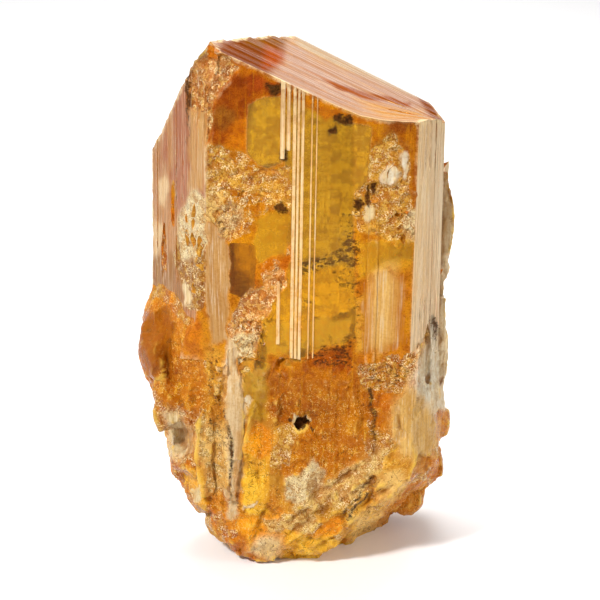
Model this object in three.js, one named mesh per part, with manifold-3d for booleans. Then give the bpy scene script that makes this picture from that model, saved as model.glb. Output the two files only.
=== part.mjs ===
// A broken-off topaz crystal: a striated prism with a sloping, terraced end face and a lumpy broken base.
// Millimetres, +Z up, the wide front face towards -Y. The origin is the bottom centre of the crystal.
import * as THREE from "three";
import { mergeVertices } from "three/addons/utils/BufferGeometryUtils.js";
import Module from "manifold-3d";

const wasm = await Module();
wasm.setup();

// ---- Driving dimensions, in mm, with the front prism face in the plane y = 0 ----

// Corners of the prism, seen from above, counter-clockwise from the front left edge.
const FRONT_LEFT = [-6.55, 0];
const FRONT_RIGHT = [7.78, 0];
const RIGHT_EDGE = [9.56, 2.4];
const RIGHT_REAR = [9.85, 8.0];
const BACK_RIGHT = [9.5, 9.9];
const BACK_LEFT = [-1.6, 9.9];
const LEFT_REAR = [-8.6, 8.0];
const LEFT_EDGE = [-10.45, 6.4];
const LEFT_FRONT = [-7.9, 2.0];

// The sides spread a little towards the base: extra reach at z = 0 beyond the front edges.
const SPREAD_RIGHT = 0.3;
const SPREAD_LEFT = 0.12;

// Growth ledges that run up each prism face: how deep they step.
const LEDGE_DEPTH = 0.07;

// Raised growth ribs on the front face: left and right edge, lower and upper end.
const RIB_HEIGHT = 0.1;
const RIBS_ON_FRONT = [
  [-1.5, -1.22, 32.4, 44],
  [-1.08, -0.84, 33.0, 44],
  [-1.62, -1.4, 18.6, 23.4],
  [-0.66, -0.46, 16, 44],
  [-0.36, -0.2, 16, 44],
  [-0.1, 0.1, 16, 44],
  [0.56, 0.66, 16, 44],
  [0.9, 1.0, 16, 44],
  [4.6, 5.3, 16, 29.5],
];

// End face: slopes down to the right, and levels off at the front right corner.
const END_HEIGHT = 37.2;
const END_SLOPE = 0.462;
const END_LEVEL = 35.25;
const END_LEVEL_BLEND = 0.22;
const END_BACK_HEIGHT = 37.72;
const END_BACK_SLOPE = 0.495;
const END_VALLEY_Y = 6.2;
const TERRACES = [0.7, 1.5, 2.1, 3.0, 3.6, 4.6, 5.3, 6.2, 7.0, 7.7, 8.6, 9.3];
const TERRACE_STEP = 0.11;
const TERRACE_RISER = 0.05;

// Where the straight prism faces end and the broken lower part begins.
const BREAK_FRONT = 17.4;
const BREAK_SIDE = 12.5;
const BREAK_ROUGH = 0.9;

// Broken lower part: how far it reaches on each side, as [height, reach] from the core line.
const CORE = [-0.4, 4.9];
const REACH_LEFT = [
  [-1.0, 3.2], [0.4, 4.4], [1.7, 6.2], [2.5, 7.2], [3.3, 7.8], [4.8, 8.2], [6.0, 8.8],
  [7.4, 9.35], [9.9, 9.5], [10.8, 10.1], [12.2, 10.8], [13.4, 11.1], [17.0, 11.15],
  [18.6, 10.95], [19.4, 10.6], [21.0, 10.0], [23.0, 9.2],
];
const REACH_RIGHT = [
  [-1.0, 5.6], [0.6, 7.6], [1.6, 9.0], [2.6, 9.8], [4.0, 10.2], [6.0, 10.7], [7.2, 10.5],
  [8.6, 10.9], [11.0, 10.85], [14.0, 10.7], [17.0, 10.55], [20.0, 10.2], [23.0, 9.4],
];
const REACH_FRONT = [
  [-1.0, 2.0], [0.4, 3.1], [1.2, 4.0], [2.6, 4.75], [5.0, 4.85], [9.0, 4.7], [13.0, 4.6],
  [17.0, 4.45], [20.0, 4.0], [23.0, 3.6],
];
const REACH_BACK = [
  [-1.0, 4.2], [0.8, 5.0], [2.4, 5.5], [5.0, 5.7], [9.0, 5.6], [13.0, 5.4], [18.0, 4.9],
  [23.0, 4.2],
];
const RINGS = 22;
const RING_POINTS = 52;
const BASE_LOW = -1.0;
const BASE_HIGH = 22.0;
const LUMP_HEIGHT = 0.5;

const SEED = 11;

// ---- Small helpers ----

// Repeatable pseudo-random numbers between 0 and 1.
function randomFrom(seed) {
  let state = seed * 7919 + 17;
  return () => {
    state = (state * 1103515245 + 12345) % 2147483648;
    return state / 2147483648;
  };
}

// Smooth value noise between -1 and 1 at a point.
function noiseAt(x, y, z, seed) {
  const hash = (i, j, k) => {
    const mixed = Math.sin(i * 127.1 + j * 311.7 + k * 74.7 + seed * 53.3) * 43758.5453;
    return 2 * (mixed - Math.floor(mixed)) - 1;
  };
  const ease = (t) => t * t * (3 - 2 * t);
  const [i, j, k] = [Math.floor(x), Math.floor(y), Math.floor(z)];
  const [u, v, w] = [ease(x - i), ease(y - j), ease(z - k)];
  let sum = 0;
  for (let a = 0; a < 2; a++) {
    for (let b = 0; b < 2; b++) {
      for (let c = 0; c < 2; c++) {
        const weight = (a ? u : 1 - u) * (b ? v : 1 - v) * (c ? w : 1 - w);
        sum += weight * hash(i + a, j + b, k + c);
      }
    }
  }
  return sum;
}

// Value on a broken line given as [position, value] pairs.
function along(pairs, at) {
  if (at <= pairs[0][0]) return pairs[0][1];
  for (let i = 1; i < pairs.length; i++) {
    const [p0, v0] = pairs[i - 1];
    const [p1, v1] = pairs[i];
    if (at <= p1) return v0 + ((v1 - v0) * (at - p0)) / (p1 - p0);
  }
  return pairs[pairs.length - 1][1];
}

// Turns a closed three.js geometry into a solid for joining and cutting.
function solid(geometry) {
  const bare = geometry.clone();
  bare.deleteAttribute("normal");
  bare.deleteAttribute("uv");
  const merged = mergeVertices(bare, 1e-4);
  return new wasm.Manifold(
    new wasm.Mesh({
      numProp: 3,
      vertProperties: new Float32Array(merged.attributes.position.array),
      triVerts: new Uint32Array(merged.index.array),
    }),
  );
}

// Turns a joined solid back into a three.js geometry.
function geometryOf(body) {
  const mesh = body.getMesh();
  const points = new Float32Array(mesh.numVert * 3);
  for (let i = 0; i < mesh.numVert; i++) {
    points.set(mesh.vertProperties.subarray(i * mesh.numProp, i * mesh.numProp + 3), i * 3);
  }
  const geometry = new THREE.BufferGeometry();
  geometry.setAttribute("position", new THREE.BufferAttribute(points, 3));
  geometry.setIndex(new THREE.BufferAttribute(new Uint32Array(mesh.triVerts), 1));
  return geometry;
}

// A block that fills everything beyond a plane. The plane faces along `normal` and holds `point`.
function beyondPlane(point, normal) {
  const size = 90;
  const block = new THREE.BoxGeometry(size, size, size);
  block.translate(0, 0, size / 2);
  const facing = new THREE.Vector3(...normal).normalize();
  const turn = new THREE.Quaternion().setFromUnitVectors(new THREE.Vector3(0, 0, 1), facing);
  block.applyQuaternion(turn);
  block.translate(...point);
  return solid(block);
}

// A block beyond a broken, uneven face. The face holds `point`, faces along `normal`, is `size`
// across and is divided into `cells` each way.
function beyondBreak(point, normal, size, cells, rough, seed) {
  const block = new THREE.BoxGeometry(size, size, 12, cells, cells, 1);
  block.translate(0, 0, 6);
  const place = block.attributes.position;
  for (let i = 0; i < place.count; i++) {
    if (place.getZ(i) > 1) continue;
    const [u, v] = [place.getX(i), place.getY(i)];
    const coarse = noiseAt(0.45 * u + 5, 0.45 * v, 1, seed);
    const fine = noiseAt(1.3 * u, 1.3 * v + 4, 2, seed);
    place.setZ(i, rough * (coarse + 0.45 * fine));
  }
  const facing = new THREE.Vector3(...normal).normalize();
  const turn = new THREE.Quaternion().setFromUnitVectors(new THREE.Vector3(0, 0, 1), facing);
  block.applyQuaternion(turn);
  block.translate(...point);
  return solid(block);
}

// An irregular, faceted lump or pocket: a ball with its surface pushed in and out.
function lump(centre, radii, detail, rough, seed) {
  const ball = mergeVertices(bareBall(detail), 1e-4);
  const place = ball.attributes.position;
  for (let i = 0; i < place.count; i++) {
    const [x, y, z] = [place.getX(i), place.getY(i), place.getZ(i)];
    const push = 1 + rough * noiseAt(1.7 * x + 9, 1.7 * y + 5, 1.7 * z + 3, seed);
    place.setXYZ(i, x * push * radii[0], y * push * radii[1], z * push * radii[2]);
  }
  ball.translate(...centre);
  return solid(ball);
}

// A broken sliver standing along a face: an uneven block that narrows towards both ends.
function sliver(centre, size, narrow, rough, seed) {
  const bar = new THREE.BoxGeometry(1, 1, 1, 2, 4, 9);
  const place = bar.attributes.position;
  for (let i = 0; i < place.count; i++) {
    const [u, v, w] = [place.getX(i), place.getY(i), place.getZ(i)];
    const keep = 1 - narrow * Math.pow(Math.abs(2 * w), 2.5);
    const x = u * size[0] * keep;
    const y = v * size[1] * keep;
    const z = w * size[2];
    const push = rough * noiseAt(1.1 * x + 6 * u, 1.1 * y + 6 * v, 0.7 * z, seed);
    place.setXYZ(i, x + push * Math.sign(u), y + push * Math.sign(v), z + 1.6 * push * w);
  }
  bar.translate(...centre);
  return solid(bar);
}

function bareBall(detail) {
  const ball = new THREE.IcosahedronGeometry(1, detail);
  ball.deleteAttribute("normal");
  ball.deleteAttribute("uv");
  return ball;
}

// ---- The straight prism, with growth ledges up its faces ----

// Points from one corner to the next, stepping in and out by small ledges.
function ledges(from, to, count, depth, random) {
  const across = new THREE.Vector2(to[0] - from[0], to[1] - from[1]);
  const inward = new THREE.Vector2(-across.y, across.x).normalize();
  const points = [[from[0], from[1]]];
  let level = 0;
  for (let i = 1; i < count; i++) {
    const share = (i + 0.6 * (random() - 0.5)) / count;
    const x = from[0] + across.x * share;
    const y = from[1] + across.y * share;
    const next = depth * random();
    points.push([x + inward.x * level, y + inward.y * level]);
    points.push([x + inward.x * next, y + inward.y * next]);
    level = next;
  }
  return points;
}

// One raised rib on the front face.
function rib([left, right, low, high]) {
  const bar = new THREE.BoxGeometry(right - left, RIB_HEIGHT + 0.5, high - low);
  bar.translate((left + right) / 2, 0.25 - RIB_HEIGHT / 2, (low + high) / 2);
  return solid(bar);
}

function prism() {
  const random = randomFrom(SEED);
  const outline = [
    FRONT_LEFT,
    ...ledges(FRONT_RIGHT, RIGHT_EDGE, 4, LEDGE_DEPTH, random),
    ...ledges(RIGHT_EDGE, RIGHT_REAR, 6, 1.6 * LEDGE_DEPTH, random),
    ...ledges(RIGHT_REAR, BACK_RIGHT, 2, LEDGE_DEPTH, random),
    ...ledges(BACK_RIGHT, BACK_LEFT, 12, 1.4 * LEDGE_DEPTH, random),
    ...ledges(BACK_LEFT, LEFT_REAR, 8, 1.4 * LEDGE_DEPTH, random),
    ...ledges(LEFT_REAR, LEFT_EDGE, 3, LEDGE_DEPTH, random),
    ...ledges(LEFT_EDGE, LEFT_FRONT, 6, 1.2 * LEDGE_DEPTH, random),
    ...ledges(LEFT_FRONT, FRONT_LEFT, 4, 1.2 * LEDGE_DEPTH, random),
  ];
  const shape = new THREE.Shape(outline.map(([x, y]) => new THREE.Vector2(x, y)));
  const straight = new THREE.ExtrudeGeometry(shape, { depth: 44, bevelEnabled: false });
  const place = straight.attributes.position;
  for (let i = 0; i < place.count; i++) {
    const x = place.getX(i);
    if (place.getZ(i) > 1) continue;
    if (x > FRONT_RIGHT[0]) place.setX(i, x + SPREAD_RIGHT * (x - FRONT_RIGHT[0]));
    if (x < FRONT_LEFT[0]) place.setX(i, x + SPREAD_LEFT * (x - FRONT_LEFT[0]));
  }
  let body = solid(straight);
  for (const size of RIBS_ON_FRONT) body = body.add(rib(size));
  return body;
}

// ---- The end face above and the ragged break below ----

// Height of the end face, before its terraces.
function endFace(x, y) {
  const main = END_HEIGHT - END_SLOPE * x;
  const over = (END_LEVEL - main) / END_LEVEL_BLEND;
  const front = over > 20 ? END_LEVEL : main + END_LEVEL_BLEND * Math.log(1 + Math.exp(over));
  const back = END_BACK_HEIGHT - END_BACK_SLOPE * x;
  const share = Math.min(1, Math.max(0, y / END_VALLEY_Y));
  return front + (back - front) * share;
}

// Height at which the straight faces give way to the broken part.
function breakLine(x, y) {
  const toSide = Math.min(1, Math.max(0, (x - 3.5) / 4.5));
  const toBack = Math.min(1, Math.max(0, (y - 1) / 8));
  const height = BREAK_FRONT + (BREAK_SIDE - BREAK_FRONT) * Math.max(toSide, 0.7 * toBack);
  return height + BREAK_ROUGH * noiseAt(0.7 * x, 0.7 * y, 4, SEED);
}

// A block between the break below and the terraced end face above. Rows run from left to right,
// and each terrace has a row at the foot and at the top of its riser.
function endBlock() {
  const rows = [{ y: -2, lift: 0 }];
  let lift = 0;
  TERRACES.forEach((y, i) => {
    rows.push({ y: y - TERRACE_RISER, lift });
    lift = TERRACE_STEP * (i % 3 === 1 ? 1 : i % 3 === 2 ? -0.7 : 0.35);
    rows.push({ y: y + TERRACE_RISER, lift });
  });
  rows.push({ y: 12, lift });
  const columns = 17;
  const left = -13;
  const right = 13;
  const positions = [];
  for (const layer of ["top", "bottom"]) {
    for (const row of rows) {
      for (let c = 0; c <= columns; c++) {
        const x = left + ((right - left) * c) / columns;
        const z = layer === "top" ? endFace(x, row.y) + row.lift : breakLine(x, row.y);
        positions.push(x, row.y, z);
      }
    }
  }
  const perRow = columns + 1;
  const layerSize = perRow * rows.length;
  const at = (layer, r, c) => layer * layerSize + r * perRow + c;
  const index = [];
  const quad = (a, b, c, d) => index.push(a, b, c, a, c, d);
  for (let r = 0; r + 1 < rows.length; r++) {
    for (let c = 0; c < columns; c++) {
      quad(at(0, r, c), at(0, r, c + 1), at(0, r + 1, c + 1), at(0, r + 1, c));
      quad(at(1, r, c), at(1, r + 1, c), at(1, r + 1, c + 1), at(1, r, c + 1));
    }
    quad(at(0, r, 0), at(0, r + 1, 0), at(1, r + 1, 0), at(1, r, 0));
    quad(at(0, r, columns), at(1, r, columns), at(1, r + 1, columns), at(0, r + 1, columns));
  }
  const last = rows.length - 1;
  for (let c = 0; c < columns; c++) {
    quad(at(0, 0, c), at(1, 0, c), at(1, 0, c + 1), at(0, 0, c + 1));
    quad(at(0, last, c), at(0, last, c + 1), at(1, last, c + 1), at(1, last, c));
  }
  const geometry = new THREE.BufferGeometry();
  geometry.setAttribute("position", new THREE.Float32BufferAttribute(positions, 3));
  geometry.setIndex(index);
  return solid(geometry);
}

// ---- The broken lower part ----

const CORNERS = [
  FRONT_LEFT, FRONT_RIGHT, RIGHT_EDGE, RIGHT_REAR, BACK_RIGHT, BACK_LEFT, LEFT_REAR, LEFT_EDGE,
  LEFT_FRONT,
];

// Distance from the core line to the prism outline in a given direction.
function prismReach(angle) {
  const [dx, dy] = [Math.cos(angle), Math.sin(angle)];
  let reach = 0;
  CORNERS.forEach(([x0, y0], i) => {
    const [x1, y1] = CORNERS[(i + 1) % CORNERS.length];
    const [ex, ey] = [x1 - x0, y1 - y0];
    const [px, py] = [x0 - CORE[0], y0 - CORE[1]];
    const turn = dx * ey - dy * ex;
    if (Math.abs(turn) < 1e-9) return;
    const distance = (px * ey - py * ex) / turn;
    const share = (px * dy - py * dx) / turn;
    if (distance > 0 && share >= 0 && share <= 1) reach = Math.max(reach, distance);
  });
  return reach;
}

// How far the broken part reaches in one direction at one height.
function baseReach(angle, z) {
  const side = Math.cos(angle);
  const depth = Math.sin(angle);
  const sideShare = side > 0 ? along(REACH_RIGHT, z) / 10.1 : along(REACH_LEFT, z) / 10.05;
  const depthShare = depth > 0 ? along(REACH_BACK, z) / 5.0 : along(REACH_FRONT, z) / 4.9;
  const straight = prismReach(angle);
  const x = straight * side;
  const y = straight * depth;
  return Math.hypot(x * sideShare, y * depthShare);
}

// Rounded lumps of several sizes, sharper where they meet than on top.
function lumps(x, y, z) {
  const big = Math.abs(noiseAt(0.42 * x + 3, 0.42 * y, 0.26 * z, SEED + 1));
  const small = Math.abs(noiseAt(1.1 * x, 1.1 * y + 7, 0.6 * z, SEED + 2));
  return 0.62 - 1.1 * big - 0.85 * small;
}

// Directions of the columns of points around the broken part. A column runs down each prism corner,
// and the others may wander by `loose`.
function columnAngles() {
  const full = 2 * Math.PI;
  const spacing = full / RING_POINTS;
  const columns = [];
  for (let p = 0; p < RING_POINTS; p++) columns.push({ angle: p * spacing, loose: spacing });
  for (const [x, y] of CORNERS) {
    const angle = (Math.atan2(y - CORE[1], x - CORE[0]) + full) % full;
    const nearest = Math.round(angle / spacing) % RING_POINTS;
    columns[nearest] = { angle: nearest === 0 && angle > Math.PI ? angle - full : angle, loose: 0 };
  }
  return columns;
}

function brokenBase() {
  const positions = [];
  const random = randomFrom(SEED + 5);
  const step = (BASE_HIGH - BASE_LOW) / (RINGS - 1);
  const columns = columnAngles();
  for (let r = 0; r < RINGS; r++) {
    const height = BASE_LOW + step * r;
    for (let p = 0; p < RING_POINTS; p++) {
      const angle = columns[p].angle + columns[p].loose * 0.4 * (random() - 0.5);
      const inner = r > 0 && r < RINGS - 1;
      const z = height + (inner ? 0.5 * step * (random() - 0.5) : 0);
      const reach = baseReach(angle, z);
      const x = reach * Math.cos(angle);
      const y = reach * Math.sin(angle);
      const calm = 1 - Math.min(1, Math.max(0, (z - 13) / 6));
      const push = LUMP_HEIGHT * lumps(x, y, z) * (0.35 + 0.65 * calm);
      const scale = 1 + push / Math.max(reach, 1);
      positions.push(CORE[0] + x * scale, CORE[1] + y * scale, z);
    }
  }
  positions.push(CORE[0], CORE[1], BASE_LOW, CORE[0], CORE[1], BASE_HIGH);
  const low = RINGS * RING_POINTS;
  const index = [];
  for (let r = 0; r + 1 < RINGS; r++) {
    for (let p = 0; p < RING_POINTS; p++) {
      const q = (p + 1) % RING_POINTS;
      const [a, b] = [r * RING_POINTS + p, r * RING_POINTS + q];
      const [c, d] = [a + RING_POINTS, b + RING_POINTS];
      if ((r + p) % 2) index.push(a, b, d, a, d, c);
      else index.push(a, b, c, b, d, c);
    }
  }
  for (let p = 0; p < RING_POINTS; p++) {
    const q = (p + 1) % RING_POINTS;
    index.push(low, q, p);
    index.push(low + 1, (RINGS - 1) * RING_POINTS + p, (RINGS - 1) * RING_POINTS + q);
  }
  const geometry = new THREE.BufferGeometry();
  geometry.setAttribute("position", new THREE.Float32BufferAttribute(positions, 3));
  geometry.setIndex(index);
  return solid(geometry);
}

// ---- Knobs, chips and pits ----

// Broken slivers along the right side and a narrow plate on the lower front: centre, size, how
// much they narrow, roughness, seed.
const SLIVERS = [
  [[9.6, 4.9, 25.4], [1.75, 3.4, 9.4], 0.55, 0.42, 61],
  [[9.75, 4.2, 16.6], [1.5, 3.0, 8.4], 0.5, 0.4, 62],
  [[-4.7, 0.5, 11.8], [1.25, 1.3, 12.6], 0.45, 0.14, 63],
  [[-6.6, 1.3, 9.4], [1.3, 1.6, 7.5], 0.5, 0.3, 64],
];

// Lumps that stand out from the sides: centre, radii, roughness, seed.
const KNOBS = [
  // rear right knobs
  [[9.95, 7.6, 5.3], [1.05, 1.4, 1.5], 0.35, 4],
  [[10.4, 7.0, 9.0], [1.0, 1.3, 1.25], 0.3, 3],
  // left side, from the big lump down to the base
  [[-10.0, 5.4, 16.0], [1.6, 2.8, 3.4], 0.3, 7],
  [[-8.9, 4.4, 12.2], [1.7, 2.9, 2.9], 0.45, 8],
  [[-7.5, 4.8, 7.7], [1.9, 2.9, 3.0], 0.45, 9],
  [[-6.3, 4.4, 4.6], [1.8, 2.6, 2.4], 0.45, 10],
  [[-4.6, 3.3, 2.9], [1.9, 2.1, 2.0], 0.45, 14],
  // front of the base
  [[-2.4, 2.5, 1.5], [2.3, 1.7, 1.6], 0.35, 12],
  [[1.5, 2.6, 1.5], [2.4, 1.9, 1.6], 0.35, 13],
  [[3.9, 2.6, 3.7], [1.5, 1.6, 1.6], 0.4, 15],
  // block below the pit
  [[0.3, 0.75, 8.4], [1.75, 0.95, 3.4], 0.3, 17],
];

// The lump that stays below the break at the rear right: centre, radii, roughness, seed.
const REAR_FOOT = [[8.0, 7.4, 2.7], [1.7, 1.6, 1.55], 0.25, 5];

// Pits and long nicks cut into the faces: centre, radii, roughness, seed.
const PITS = [
  [[0.15, 0.1, 12.4], [0.55, 0.85, 0.46], 0.2, 21],
  [[-9.35, 3.7, 27.6], [0.55, 0.45, 1.9], 0.35, 23],
  [[-9.9, 4.9, 23.6], [0.5, 0.5, 2.2], 0.35, 29],
  [[6.25, -0.02, 31.2], [0.6, 0.2, 0.85], 0.2, 28],
  [[9.15, 1.5, 17.4], [0.45, 0.42, 2.4], 0.4, 26],
];

// Crumbled patches, each a scatter of shallow pits: centre, spread in x and z, slope of the face
// (change of y with x), how many pits, seed.
const PATCHES = [
  [[-4.5, 0, 28.6], [1.5, 2.0], 0, 9, 51],
  [[-3.3, 0, 20.2], [1.2, 2.6], 0, 9, 52],
  [[-7.55, 1.5, 25.4], [0.55, 3.4], -1.4, 8, 53],
  [[6.7, 0, 28.2], [0.8, 2.2], 0, 6, 54],
];

function crumbledPatch(centre, spread, slope, count, seed) {
  const random = randomFrom(seed);
  const pits = [];
  for (let i = 0; i < count; i++) {
    const turn = 2 * Math.PI * random();
    const out = Math.sqrt(random());
    const x = out * spread[0] * Math.cos(turn);
    const z = out * spread[1] * Math.sin(turn);
    const size = 0.3 + 0.45 * random();
    const place = [centre[0] + x, centre[1] + slope * x, centre[2] + z];
    pits.push(lump(place, [size, 0.16 + 0.12 * random(), 1.35 * size], 1, 0.5, seed + i));
  }
  return pits;
}

function crystal() {
  let body = prism().intersect(endBlock());

  // The back left corner is cut away by a large sloping face.
  body = body.subtract(beyondPlane([-6.6, 1.5, 39.35], [-0.6, 0.55, 0.58]));
  // Small steep facet at the rear right of the end face.
  body = body.subtract(beyondPlane([9.3, 8.0, 33.4], [0.8, 0.2, 0.56]));
  // The front left edge is chipped off below the end face, down to a point.
  const chip = beyondBreak([-6.85, 0.25, 36.4], [-0.64, -0.74, 0.2], 9, 11, 0.2, 31);
  body = body.subtract(chip);

  body = body.add(brokenBase());

  // A striated step cut back along the lower front left edge, with a slanting upper end.
  const belowSlant = beyondPlane([-5.0, 0, 26.4], [0.77, 0, 0.64]);
  const step = beyondPlane([-4.95, 0, 23], [-0.38, -0.925, -0.04]).subtract(belowSlant);
  body = body.subtract(step);

  for (const [centre, size, narrow, rough, seed] of SLIVERS) {
    body = body.add(sliver(centre, size, narrow, rough, seed));
  }
  for (const [centre, radii, rough, seed] of KNOBS) {
    body = body.add(lump(centre, radii, 2, rough, seed));
  }
  for (const [centre, radii, rough, seed] of PITS) {
    body = body.subtract(lump(centre, radii, 2, rough, seed));
  }
  for (const [centre, spread, slope, count, seed] of PATCHES) {
    for (const pit of crumbledPatch(centre, spread, slope, count, seed)) body = body.subtract(pit);
  }

  // Broken faces under the front right and the left of the base.
  body = body.subtract(beyondBreak([4.1, 0.8, 3.5], [0.6, -0.5, -0.62], 16, 13, 0.35, 41));
  body = body.add(lump(REAR_FOOT[0], REAR_FOOT[1], 2, REAR_FOOT[2], REAR_FOOT[3]));
  body = body.subtract(beyondBreak([-7.4, 3.0, 1.7], [-0.6, -0.2, -0.78], 14, 12, 0.3, 42));
  // The crystal rests on a flat cut.
  body = body.subtract(beyondPlane([0, 0, 0], [0, 0, -1]));
  // Loose crumbs left by the cuts are dropped.
  return body.decompose().reduce((most, piece) => (piece.volume() > most.volume() ? piece : most));
}

// ---- The finished object ----

const geometry = geometryOf(crystal());
geometry.computeBoundingBox();
const box = geometry.boundingBox;
geometry.translate(-(box.min.x + box.max.x) / 2, -(box.min.y + box.max.y) / 2, -box.min.z);

const topaz = new THREE.MeshStandardMaterial({ color: 0xc8892a, roughness: 0.25, metalness: 0 });
const mesh = new THREE.Mesh(geometry, topaz);
mesh.name = "topaz_crystal";

const root = new THREE.Group();
root.name = "topaz";
root.add(mesh);
export default root;
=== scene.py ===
import bpy
import math
from itertools import product
import numpy as np
from mathutils import Matrix, Vector
from mathutils.geometry import delaunay_2d_cdt
from mathutils.kdtree import KDTree


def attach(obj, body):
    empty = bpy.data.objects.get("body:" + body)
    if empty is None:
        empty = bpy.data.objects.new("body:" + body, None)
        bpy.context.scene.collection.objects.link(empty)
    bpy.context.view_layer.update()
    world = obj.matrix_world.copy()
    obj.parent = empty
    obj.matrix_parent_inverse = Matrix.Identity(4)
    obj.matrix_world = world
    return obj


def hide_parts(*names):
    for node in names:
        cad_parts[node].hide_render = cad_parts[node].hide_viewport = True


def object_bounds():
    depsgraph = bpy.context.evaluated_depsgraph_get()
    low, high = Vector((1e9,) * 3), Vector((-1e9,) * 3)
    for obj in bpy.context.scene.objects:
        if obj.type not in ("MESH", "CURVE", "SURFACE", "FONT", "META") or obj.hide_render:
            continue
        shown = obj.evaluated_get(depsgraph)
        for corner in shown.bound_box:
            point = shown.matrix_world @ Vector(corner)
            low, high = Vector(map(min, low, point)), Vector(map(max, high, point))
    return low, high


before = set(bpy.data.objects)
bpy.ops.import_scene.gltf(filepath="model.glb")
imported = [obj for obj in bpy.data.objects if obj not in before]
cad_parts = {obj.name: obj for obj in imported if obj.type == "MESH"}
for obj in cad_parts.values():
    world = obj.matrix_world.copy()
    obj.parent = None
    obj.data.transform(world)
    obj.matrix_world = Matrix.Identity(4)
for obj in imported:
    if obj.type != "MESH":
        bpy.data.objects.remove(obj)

CAD_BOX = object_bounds()
NODE = "topaz_crystal"
MM = 0.001

# ---------------------------------------------------------------------------
# Camera. All lengths here are mm.
# ---------------------------------------------------------------------------
FRONT_Y = -5.226  # the plane of the front prism face
ELEVATION = math.radians(24.0)
ROLL = math.radians(1.0)
LENS = 130.0
SENSOR = 36.0
PIXELS = 600
FOCAL_PX = LENS / SENSOR * PIXELS
PIXELS_PER_MM = 14.4  # at the front face
TARGET = np.array([0.124, FRONT_Y, 21.97])


def camera_axes():
    forward = np.array([0.0, math.cos(ELEVATION), -math.sin(ELEVATION)])
    right = np.array([1.0, 0.0, 0.0])
    up = np.cross(right, forward)
    c, s = math.cos(ROLL), math.sin(ROLL)
    return c * right + s * up, -s * right + c * up, forward


RIGHT, UP, FORWARD = camera_axes()
EYE = TARGET - FORWARD * (FOCAL_PX / PIXELS_PER_MM)


def frame_xy(points):
    """Where points, in mm, fall in the 600 px frame."""
    rel = points - EYE
    depth = rel @ FORWARD
    return PIXELS / 2 + FOCAL_PX * (rel @ RIGHT) / depth, PIXELS / 2 - FOCAL_PX * (rel @ UP) / depth


def link_new(name, data):
    """A new object in the scene."""
    ob = bpy.data.objects.new(name, data)
    bpy.context.collection.objects.link(ob)
    return ob


def make_camera():
    data = bpy.data.cameras.new("camera")
    data.lens, data.sensor_width = LENS, SENSOR
    data.clip_start, data.clip_end = 0.001, 10
    cam = link_new("camera", data)
    turn = np.stack([RIGHT, UP, -FORWARD, EYE * MM], 1)
    cam.matrix_world = Matrix([*turn.tolist(), (0, 0, 0, 1)])
    bpy.context.scene.camera = cam


# ---------------------------------------------------------------------------
# Noise
# ---------------------------------------------------------------------------
def cell_random(cell, seed):
    """A repeatable number between 0 and 1 for each whole-number cell."""
    h = cell[..., 0] * 374761393 + cell[..., 1] * 668265263 + cell[..., 2] * 1440662683 + seed * 97531
    h &= 0xFFFFFFFF
    h = ((h ^ (h >> 13)) * 1274126177) & 0xFFFFFFFF
    h = ((h ^ (h >> 15)) * 668265263) & 0xFFFFFFFF
    return (h ^ (h >> 16)) / 4294967296.0


def cell_randoms(cell, seeds):
    return np.stack([cell_random(cell, seed) for seed in seeds], 1)


def noise(p, seed):
    """Smooth noise between -1 and 1 at each point."""
    base = np.floor(p).astype(np.int64)
    t = p - base
    t = t * t * t * (t * (t * 6 - 15) + 10)
    out = np.zeros(len(p))
    for step in product((0, 1), repeat=3):
        x, y, z = (t[:, k] if step[k] else 1 - t[:, k] for k in range(3))
        out += x * y * z * cell_random(base + np.array(step), seed)
    return out * 2 - 1


def fbm(p, seed, octaves):
    """Noise with finer and fainter noise on top."""
    out = np.zeros(len(p))
    for i in range(octaves):
        out += 0.5 ** i * noise(p * 2.03 ** i + 17.3 * i, seed + i)
    return out


def cells(p, seed):
    """Nearest and second nearest distance to scattered centres, and the nearest centre and its cell."""
    base = np.floor(p).astype(np.int64)
    best = np.full(len(p), 9.0)
    second = np.full(len(p), 9.0)
    centre = np.zeros_like(p)
    owner = np.zeros_like(base)
    for step in product((-1, 0, 1), repeat=3):
        cell = base + np.array(step)
        spot = cell + cell_randoms(cell, range(seed + 1, seed + 4))
        d = np.linalg.norm(p - spot, axis=1)
        closer = d < best
        second = np.where(closer, best, np.minimum(second, d))
        best = np.where(closer, d, best)
        centre[closer] = spot[closer]
        owner[closer] = cell[closer]
    return best, second, centre, owner


def facets(p, seed):
    """Broken-crystal relief: each cell is a small plane tilted its own way."""
    near, far, centre, owner = cells(p, seed)
    tilt = cell_randoms(owner, range(seed + 11, seed + 14)) * 2 - 1
    level = cell_random(owner, seed + 14) - 0.5
    flat = np.einsum("ij,ij->i", p - centre, tilt)
    return (flat + 0.5 * level) * np.clip((far - near) / 0.12, 0, 1)


def smooth(lo, hi, x):
    """A smooth step from 0 at lo to 1 at hi."""
    t = np.clip((x - lo) / (hi - lo), 0, 1)
    return t * t * (3 - 2 * t)


# ---------------------------------------------------------------------------
# Fine mesh
# ---------------------------------------------------------------------------
FLAT, END, ROUGH = 0, 1, 2
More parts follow.
